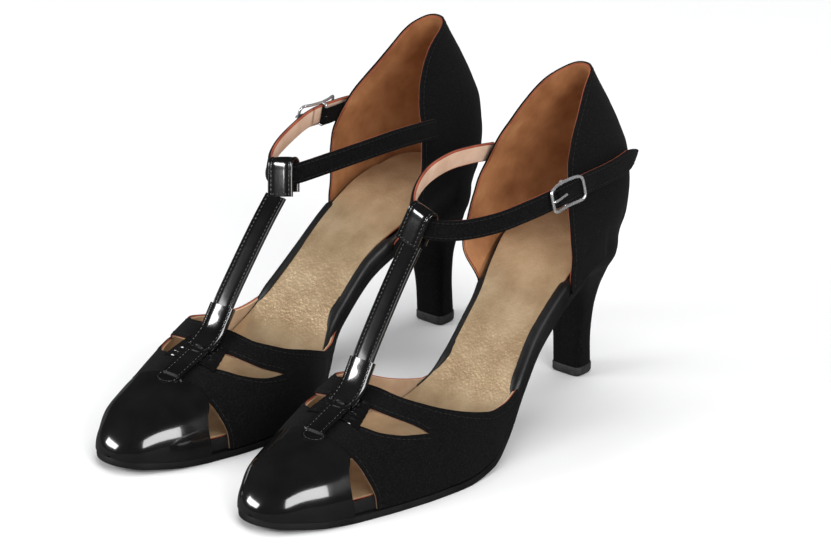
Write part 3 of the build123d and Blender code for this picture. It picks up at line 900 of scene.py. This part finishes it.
def build_wrap():
    """Black leather turned over the insole's edge at the open waist."""
    profile = ((-0.4, 2.9), (0.15, 4.2), (0.25, 6.4), (-0.1, 8.4), (-0.9, 9.7), (-2.2, 10.2), (-4.2, 10.1),
               (-5.0, 9.5), (-5.0, 3.0), (-3, 2.9))
    solid = Solid()
    rows = 60
    for side in (1, -1):
        verts = []
        for i in range(rows):
            y = 41 + 69.0 * i / (rows - 1)
            tuck = ease((54 - y) / 9) + ease((y - (90 if side > 0 else 81)) / 4.5)
            d = Vector((edge_x(y + 0.5, side) - edge_x(y - 0.5, side), 1.0)).normalized()
            for off, up in profile:
                out = off - tuck * (1.3 + 0.5 * off)
                up = up - (1.5 * tuck if up > 8 else 0)
                x = edge_x(y, side) + side * out * d.y
                verts.append(Vector((x, y - side * out * d.x, ground_z(y) + up)))
        faces = ended_grid(rows, len(profile))
        solid.add(verts, faces if side > 0 else flipped(faces))
    make("waist_wrap", solid, [WRAP], ["waist_wrap"])


# --- Heel cup
# Front and top edge of the quarter on each side: y, z, from the seat up towards the back
EDGE_OUT = ((93.6, 58), (93.8, 72), (93.3, 83), (93.2, 94), (95.2, 105), (99.5, 115), (105, 122),
            (111.5, 128.5), (118.5, 135.5), (124.5, 141.4), (130.5, 144.8))
EDGE_IN = ((84.3, 54), (84.6, 60), (85.2, 66), (87.2, 74), (89.6, 82), (92.2, 91), (95.6, 103),
           (99.7, 116.5), (104, 125), (110, 133), (119, 140.6), (129, 144.6))
QUARTER_TOP = 147.3
QUARTER_STEP = 1.6


def quarter_crown(drop):
    """Free edge of the quarter, outer foot over the back peak to the inner foot, moved down by drop."""
    outer = [(cup_u(y + drop, z - drop * 0.5, 1), z - drop * 0.5) for y, z in EDGE_OUT]
    inner = [(cup_u(y + drop, z - drop * 0.5, -1), z - drop * 0.5) for y, z in EDGE_IN]
    crown = outer + [(0.0, QUARTER_TOP - drop)] + inner[::-1]
    return smooth_path(crown, round(run_along(crown)[-1] / QUARTER_STEP))


def quarter_loop(drop, seat):
    """Closed outline of the quarter in distance round the cup and height."""
    top = quarter_crown(drop)
    low = []
    count = 60
    for i in range(count + 1):
        u = top[-1][0] + (top[0][0] - top[-1][0]) * i / count
        z = 60.0
        for _ in range(12):
            z = ground_z(cup(u, z).y) + seat
        low.append((u, z))
    top[0] = low[-1]
    top[-1] = low[0]
    return top[:-1] + resample(low, round(run_along(low)[-1] / QUARTER_STEP))[:-1]


def cup_sheet(lift):
    def surface(u, v):
        p = cup(u, v)
        if not lift:
            return p
        return p + cup_normal(u, v) * lift
    return surface


def cup_normal(u, v):
    around = cup(u + 0.8, v) - cup(u - 0.8, v)
    up = cup(u, v + 1.0) - cup(u, v - 1.0)
    return around.cross(up).normalized() * -1


def build_quarter():
    solid = panel(cup_sheet(0), quarter_loop(0, 2.8), [], 1.7, 0.9, flip=True, bulge=0.12)
    make("quarter", solid, [SUEDE, SUEDE, LINING], ["quarter", "counter_stiffener"])
    lining = panel(cup_sheet(-1.0), quarter_loop(0.5, SOCK_TOP - 3), [], 2.0, 0.6, flip=True, bulge=0.1)
    make("quarter_lining", lining, [RAW_EDGE, RAW_EDGE, LINING], ["quarter_lining"])
    thread = Solid()
    crown = [p for p in quarter_crown(1.9) if p[1] > 60]
    path = [cup(u, v) for u, v in crown]
    normals = [cup_normal(u, v) for u, v in crown]
    stitches(thread, path, normals, 2.4, 0.25)
    make("quarter_stitches", thread, [THREAD])


# --- Heel
HEEL_RING = 40
HEEL_SPLIT = 0.42         # where the section's square front meets its round back
HEEL_FRONT_POWER = 0.42
HEEL_FOOT = 4.6           # the cover starts here, above the rubber top piece


def heel_point(k, z, grow=0.0):
    """Point k of the heel's D-shaped section at height z."""
    x0 = heel_x0(z) - grow
    x1 = heel_x1(z) + grow
    y0 = heel_y0(z) - grow
    y1 = heel_y1(z) + grow
    mid = (x0 + x1) / 2
    half = (x1 - x0) / 2
    a = 2 * pi * (k + 0.5) / HEEL_RING
    c = cos(a)
    s = sin(a)
    split = y0 + (y1 - y0) * HEEL_SPLIT
    power = HEEL_FRONT_POWER if s < 0 else 0.80 + 0.06 * ease((z - 50) / 18)
    y = split + ((y1 - split) if s > 0 else (split - y0)) * signed_power(s, power)
    x = mid + half * signed_power(c, power)
    side = copysign(1, c)
    seat_x = (edge_x(y, side) + 0.2 * side) * (1 if s > 0 else abs(c) ** HEEL_FRONT_POWER)
    return Vector((x + (seat_x - x) * ease((z - 56) / 13), y, z))


def build_heel():
    rows = 46
    verts = []
    for i in range(rows):
        for k in range(HEEL_RING):
            top = 60.0
            for _ in range(14):
                p = heel_point(k, top)
                seat = 2.7 if p.y > 108 else 2.7 * max(0.0, (p.y - 100) / 8)
                top = ground_z(p.y) + seat
            verts.append(heel_point(k, HEEL_FOOT + (top - HEEL_FOOT) * i / (rows - 1)))
    faces = grid_faces(rows, HEEL_RING, closed=True)
    base = len(verts)
    verts.append(Vector((-2.2, 133, HEEL_FOOT)))
    faces += [(base, (k + 1) % HEEL_RING, k) for k in range(HEEL_RING)]
    verts.append(Vector((0, 125, 66)))
    top = (rows - 1) * HEEL_RING
    faces += [(base + 1, top + k, top + (k + 1) % HEEL_RING) for k in range(HEEL_RING)]
    solid = Solid().add(verts, faces)
    make("heel_cover", solid, [SUEDE], ["heel_cover", "heel_block", "heel_fasteners"], sharp=70)
    levels = ((0.0, -1.2), (0.0, -0.5), (0.35, 0.0), (1.0, 0.3), (4.0, 0.3), (4.4, 0.1), (4.4, -1.0))
    tip = []
    for z, grow in levels:
        for k in range(HEEL_RING):
            p = heel_point(k, 2.0, grow)
            tip.append(Vector((p.x, p.y, z)))
    solid = Solid().add(tip, ended_grid(len(levels), HEEL_RING))
    make("top_piece", solid, [RUBBER], ["top_piece", "top_piece_pins"])


# --- Straps
PER = 7                   # frames per station of the ankle strap


def standing_frames(points):
    """Smooth frames (point, across, normal) of a strap on edge round the ankle."""
    line = catmull(points, PER)
    frames = []
    for i, (x, y, z, lean) in enumerate(line):
        a, b = beside(line, i)
        along = (Vector(b[:3]) - Vector(a[:3])).normalized()
        out = along.cross(Vector((0, 0, 1))).normalized()
        up = out.cross(along).normalized()
        tilt = radians(lean)
        over = up * cos(tilt) - out * sin(tilt)
        normal = out * cos(tilt) + up * sin(tilt)
        frames.append((Vector((x, y, z)), over, normal))
    return frames


def lying_frames(points, count):
    """Smooth frames of a strap that runs up the shoe's middle."""
    line = smooth_path(points, count)
    frames = []
    for i, (y, z) in enumerate(line):
        a, b = beside(line, i)
        along = Vector((0, b[0] - a[0], b[1] - a[1])).normalized()
        frames.append((Vector((t_lean(z), y, z)), Vector((1, 0, 0)), Vector((1, 0, 0)).cross(along)))
    return frames


def t_lean(z):
    return -0.04 * (z - 30)


def strap_solid(frames, profile, shape=None):
    """Sweep a closed profile of (across, height, material) through frames.
    shape(t) returns a width factor."""
    verts = []
    for i, (p, over, normal) in enumerate(frames):
        f = shape(i / (len(frames) - 1)) if shape else 1.0
        verts += [p + over * (a * f) + normal * h for a, h, _ in profile]
    mats = [mat for _, _, mat in profile] * (len(frames) - 1) + [0, 0]
    return Solid().add(verts, ended_grid(len(frames), len(profile)), mats)


def edge_stitches(thread, frames, off, lift, pitch, radius):
    """A row of stitches along each edge of a strap, off from its middle."""
    normals = [n for _, _, n in frames]
    for side in (-1, 1):
        path = [p + over * (side * off) + n * lift for p, over, n in frames]
        stitches(thread, path, normals, pitch, radius)


def flat_profile(half, low, high):
    """Thin strap section: outer face (0) up, folded edges (1), lining (2) below."""
    middle = (low + high) / 2
    return [
        (half - 0.56, low, 2), (-half + 0.56, low, 1), (-half + 0.1, low + 0.245, 1), (-half, middle, 0),
        (-half + 0.12, high - 0.315, 0), (-half + 0.455, high - 0.08, 0), (-half * 0.5, high + 0.06, 0),
        (0, high + 0.1, 0), (half * 0.5, high + 0.06, 0), (half - 0.455, high - 0.08, 0),
        (half - 0.12, high - 0.315, 0), (half, middle, 1), (half - 0.1, low + 0.245, 1),
    ]


def mirrored(left, under=0):
    """Closed section from its left half; under is the material of its underside."""
    section = [(a, h, 0) for a, h in left] + [(-a, h, 0) for a, h in reversed(left)]
    section[-1] = (*section[-1][:2], under)
    return section


ANKLE_FRAMES = standing_frames(ANKLE)
BUCKLE_FRAME = ANKLE_FRAMES[BUCKLE_STATION * PER]
LOOP_FRAME = ANKLE_FRAMES[LOOP_STATION * PER]
JOIN = 11 * PER + 2       # the strap and its tail meet under the buckle's front bar


def tip_shape(t):
    """The strap's free end narrows to a blunt point."""
    left = 1 - t
    return 0.12 + 0.88 * (left / 0.16) ** 0.75 if left < 0.16 else 1.0


def build_ankle_strap():
    half_thick = (STRAP_HIGH - STRAP_LOW) / 2
    profile = flat_profile(STRAP_WIDTH / 2, -half_thick, half_thick)
    fixed = ANKLE_FRAMES[: JOIN + 2]
    free = ANKLE_FRAMES[JOIN:]
    bend = (Vector((28.5, 97.5, 107)), Vector((27, 106, 107)))
    make("ankle_strap", strap_solid(fixed, profile), [SUEDE, RAW_EDGE, BLUSH_LINING],
         ["ankle_strap", "ankle_strap_lining"])
    make("ankle_strap_tail", strap_solid(free, profile, tip_shape), [SUEDE, RAW_EDGE, BLUSH_LINING],
         ["ankle_strap_tail"], bend=bend)
    for name, frames, ends in (("ankle_stitches", fixed, None), ("tail_stitches", free[:-5], bend)):
        thread = Solid()
        edge_stitches(thread, frames, STRAP_WIDTH / 2 - 1.3, half_thick, 2.1, 0.2)
        make(name, thread, [THREAD], bend=ends)


def welt_profile(half, low, high):
    """Patent strap section with raised edges outside a stitched channel, lined (1) below."""
    return mirrored([
        (-half + 0.5, low), (-half, low + 0.5), (-half, high - 0.1), (-half + 0.35, high + 0.22),
        (-half + 0.95, high + 0.25), (-half + 1.35, high - 0.1), (-half + 1.9, high - 0.1),
        (-half + 2.5, high + 0.18), (-half * 0.3, high + 0.32),
    ], 1)


T_HALF = 5.5              # half the T-strap's width
TAB_Y = -46.6             # centre of the round tab that ends it on the cap
TAB_RADIUS = 4.3


def tab_spot(radius, a):
    """y and angle of a point of the round tab."""
    y = TAB_Y + radius * sin(a)
    return y, pi / 2 - (radius * cos(a) * 1.05 + 0.6) / sole_half(y)


def build_tab(rows=10, columns=32):
    verts = []
    for i in range(rows):
        rim = i / (rows - 1)
        lift = 0.9 + 0.35 * sqrt(1 - rim**4) if rim < 1 else 0.0
        verts += [fore(*tab_spot(TAB_RADIUS * rim, 2 * pi * j / columns), lift) for j in range(columns)]
    return verts, grid_faces(rows, columns, closed=True)


def build_t_strap():
    rise = [(y, ridge_z(y) + 0.3) for y in (-30, -24)] + list(T_RISE)
    frames = lying_frames(rise, 70)
    solid = strap_solid(frames, welt_profile(T_HALF, 0.2, 2.0))
    make("t_strap", solid, [WORN_PATENT, BLUSH_LINING], ["t_strap", "t_strap_lining"])
    foot = lying_frames([(y, ridge_z(y) + 0.4) for y in (-45.2, -40, -35, -29)], 24)
    solid = strap_solid(foot, welt_profile(T_HALF - 0.1, 0.2, 1.5)).add(*build_tab())
    make("t_strap_foot", solid, [WORN_PATENT, BLUSH_LINING])
    thread = Solid()
    edge_stitches(thread, frames[16:], T_HALF - 1.65, 1.9, 1.9, 0.24)
    edge_stitches(thread, foot, T_HALF - 1.75, 1.4, 1.9, 0.22)
    ring = [tab_spot(TAB_RADIUS - 1.1, radians(150 + 240 * j / 25)) for j in range(26)]
    stitches(thread, [fore(*spot, 1.15) for spot in ring], [fore_normal(*spot) for spot in ring], 1.7, 0.22)
    make("t_strap_stitches", thread, [WAXED_THREAD])


def build_keeper():
    """Patent band over the foot of the T-strap."""
    on_vamp = [(-27.5, ridge_z(-27.5) + 1.2), (-24, ridge_z(-24) + 1.6)]
    frames = lying_frames(on_vamp + [(-19, 43.8), (-14.5, 50.2), (-12.2, 53.6)], 30)
    profile = mirrored([
        (-5.9, -0.9), (-6.6, -0.5), (-6.8, 0.6), (-6.5, 1.5), (-6.0, 1.95), (-5.5, 1.7), (-4.9, 1.8),
        (-4.1, 2.2), (-1.8, 2.5),
    ])
    make("t_strap_keeper", strap_solid(frames, profile), [PATENT], ["t_strap_keeper"])
    thread = Solid()
    edge_stitches(thread, frames, 5.2, 1.8, 1.9, 0.24)
    make("keeper_stitches", thread, [WAXED_THREAD])


def build_loop():
    """The T-strap's upper end folds over the ankle strap and is stitched to itself."""
    p, over, normal = LOOP_FRAME
    along = over.cross(normal).normalized()
    outline = ((2.2, -9.2), (2.3, -4), (2.3, 2), (2.2, 5.4), (1.2, 7.0), (-0.4, 7.4), (-1.9, 6.4), (-2.2, 3),
               (-2.2, -7))
    line = smooth_path(outline, 60)
    frames = []
    for i, (n, t) in enumerate(line):
        a, b = beside(line, i)
        d = (normal * (b[0] - a[0]) + over * (b[1] - a[1])).normalized()
        frames.append((p + normal * n + over * t, along * -1, d.cross(along).normalized()))
    if frames[10][2].dot(normal) < 0:
        frames = [(q, a * -1, n * -1) for q, a, n in frames]
    profile = welt_profile(6.5, -0.7, 0.75)
    make("t_strap_loop", strap_solid(frames, profile), [PATENT, PATENT], ["t_strap_loop"])
    thread = Solid()
    edge_stitches(thread, frames[:36], 4.85, 0.65, 1.8, 0.24)
    start, across, out = frames[2]
    row = [start + across * s + out * 1.05 for s in (-4.4, -2.2, 0, 2.2, 4.4)]
    stitches(thread, row, [out] * 5, 1.8, 0.24)
    make("loop_stitches", thread, [WAXED_THREAD])


# --- Buckle
def buckle_point(s, t, n):
    """Point in the buckle's frame: along the strap, up, outwards from the centre bar."""
    p, over, normal = BUCKLE_FRAME
    along = over.cross(normal).normalized()
    centre = p - normal * (STRAP_LOW + (STRAP_HIGH - STRAP_LOW) / 2)
    return centre + along * s + over * t + normal * n


def build_buckle():
    x = BUCKLE_LENGTH / 2 - WIRE
    y = BUCKLE_HEIGHT / 2 - WIRE
    ring = []
    for i in range(96):
        a = 2 * pi * i / 96
        u = (x if cos(a) > 0 else x + BUCKLE_REACH) * signed_power(cos(a), 0.30)
        n = END_BAR - (END_BAR * 0.45) * (1 - min(1.0, abs(u) / x) ** 2)
        ring.append(buckle_point(u, y * signed_power(sin(a), 0.36), n))
    ring = [Vector(p) for p in resample(ring + ring[:1], 121)[:-1]]
    solid = tube(ring, WIRE * 0.95, 12, closed=True, squash=0.85, up=BUCKLE_FRAME[2])
    bent = ((-y, 2.4), (-y, 0.5), (-y + 0.4, 0), (0, 0), (y - 0.4, 0), (y, 0.5), (y, 2.4))
    part = tube([buckle_point(0, t, n) for t, n in bent], 0.6, 10, up=Vector((0.3, 1, 0)))
    solid.add(part.verts, part.faces)
    make("buckle_frame", solid, [NICKEL], ["buckle_frame"], body="buckle_frame", sharp=80)
    rest = END_BAR + WIRE + 0.55
    line = [(-0.3, 0.9), (-0.9, 2.2), (-1.6, STRAP_HIGH + 0.7), (-4.5, STRAP_HIGH + 1.4), (-9.6, rest - 0.1),
            (-11.9, rest), (-13.3, rest - 0.35)]
    path = [buckle_point(s, 0, n) for s, n in smooth_path(line, 40)]
    prong = tube(path, lambda t: 0.55 if t < 0.93 else 0.55 - 4.5 * (t - 0.93), 10, up=BUCKLE_FRAME[1])
    turns = [2 * pi * k / 20 for k in range(20)]
    eye = [buckle_point(1.12 * cos(a), 0, 1.12 * sin(a)) for a in turns]
    part = tube(eye, 0.36, 8, closed=True, up=BUCKLE_FRAME[1])
    prong.add(part.verts, part.faces)
    make("buckle_prong", prong, [NICKEL], ["buckle_prong"], body="buckle_prong", sharp=80)


def build_buckle_strap():
    """Tab sewn inside the strap, folded round the buckle's centre bar."""
    outline = ((13.5, -1.25), (8, -1.25), (3, -1.2), (0.9, -1.05), (-0.6, -0.85), (-1.15, 0), (-0.7, 0.85),
               (0.2, 1.1))
    line = smooth_path(outline, 36)
    columns = 9
    half = 4.3
    verts = [buckle_point(s, half * (2 * j / (columns - 1) - 1), n) for s, n in line for j in range(columns)]
    solid = thicken(verts, grid_faces(len(line), columns), 0.45, (0, 0, 0), 0.05)
    make("buckle_strap", solid, [SUEDE], ["buckle_strap"])


build_outsole()
build_sock()
build_wrap()
build_vamp()
build_cap()
build_side_bands()
build_throat()
build_forepart_stitches()
build_quarter()
build_heel()
build_ankle_strap()
build_t_strap()
build_keeper()
build_loop()
build_buckle()
build_buckle_strap()

# --- Stage, light and camera
def build_floor():
    mesh = bpy.data.meshes.new("floor")
    half = 6.0
    corners = [(x * half, y * half, 0) for x, y in ((-1, -1), (1, -1), (1, 1), (-1, 1))]
    mesh.from_pydata(corners, [], [(0, 1, 2, 3)])
    place("floor", mesh)
    f = Finish("floor").set(Roughness=0.9, Specular_IOR_Level=0.1)
    pale = f.ramp(f.noise(300, 2), [(0.3, rgba(0.80, 0.80, 0.80)), (0.7, rgba(0.83, 0.83, 0.83))])
    mix = f.tree.nodes.new("ShaderNodeMix")
    mix.data_type = "RGBA"
    path = f.tree.nodes.new("ShaderNodeLightPath")
    f.link(path.outputs["Is Glossy Ray"], mix.inputs["Factor"])
    f.link(pale, mix.inputs["A"])
    mix.inputs["B"].default_value = rgba(0.05, 0.05, 0.05)
    f.color(mix.outputs["Result"])
    mesh.materials.append(f.mat)


def build_world():
    """White backdrop for the camera, and a dim grey one for reflections."""
    backdrop = bpy.data.worlds.new("studio")
    bpy.context.scene.world = backdrop
    backdrop.use_nodes = True
    tree = backdrop.node_tree
    tree.nodes.clear()
    out = tree.nodes.new("ShaderNodeOutputWorld")
    path = tree.nodes.new("ShaderNodeLightPath")
    light = tree.nodes.new("ShaderNodeBackground")
    light.inputs["Color"].default_value = rgba(0.97, 0.98, 1.0)
    light.inputs["Strength"].default_value = 0.45
    for ray, strength in (("Is Glossy Ray", 0.02), ("Is Camera Ray", 1.0)):
        mix = tree.nodes.new("ShaderNodeMixShader")
        other = tree.nodes.new("ShaderNodeBackground")
        other.inputs["Strength"].default_value = strength
        other.inputs["Color"].default_value = rgba(1, 1, 1)
        tree.links.new(path.outputs[ray], mix.inputs["Fac"])
        tree.links.new(light.outputs[0], mix.inputs[1])
        tree.links.new(other.outputs[0], mix.inputs[2])
        light = mix
    tree.links.new(light.outputs[0], out.inputs[0])


def softbox(name, at, aim, size, power):
    data = bpy.data.lights.new(name, "AREA")
    data.shape = "RECTANGLE"
    data.size = size[0]
    data.size_y = size[1]
    data.energy = power
    light = place(name, data)
    light.location = at
    light.rotation_euler = (Vector(aim) - Vector(at)).to_track_quat("-Z", "Y").to_euler()
    return light


AZIMUTH = radians(40.4)
ELEVATION = radians(22.9)
DISTANCE = 2.2515
FOCAL_SHARE = 6.2045      # focal length over picture width


def build_camera():
    back = Vector((sin(AZIMUTH) * cos(ELEVATION), -cos(AZIMUTH) * cos(ELEVATION), sin(ELEVATION)))
    right = Vector((cos(AZIMUTH), sin(AZIMUTH), 0))
    up = back.cross(right)
    aim = (Vector((-35, 30, 50)) + LEFT_AT) * MM + right * 0.02075 + up * 0.01745
    data = bpy.data.cameras.new("camera")
    data.sensor_width = 36
    data.lens = 36 * FOCAL_SHARE
    data.clip_start = 0.05
    camera = place("camera", data)
    camera.location = aim + back * DISTANCE
    camera.rotation_euler = Matrix((right, up, back)).transposed().to_euler()
    bpy.context.scene.camera = camera


build_floor()
build_world()
softbox("key", (-1.05, -1.3, 0.72), (0, -0.05, 0.04), (1.0, 0.46), 21)
softbox("fill", (1.4, -0.5, 0.82), (0, 0, 0.05), (1.0, 0.75), 19)
softbox("top", (0.0, 0.2, 1.8), (0, 0, 0), (1.4, 1.4), 20).visible_glossy = False
build_camera()
bpy.context.scene.view_settings.view_transform = "Standard"
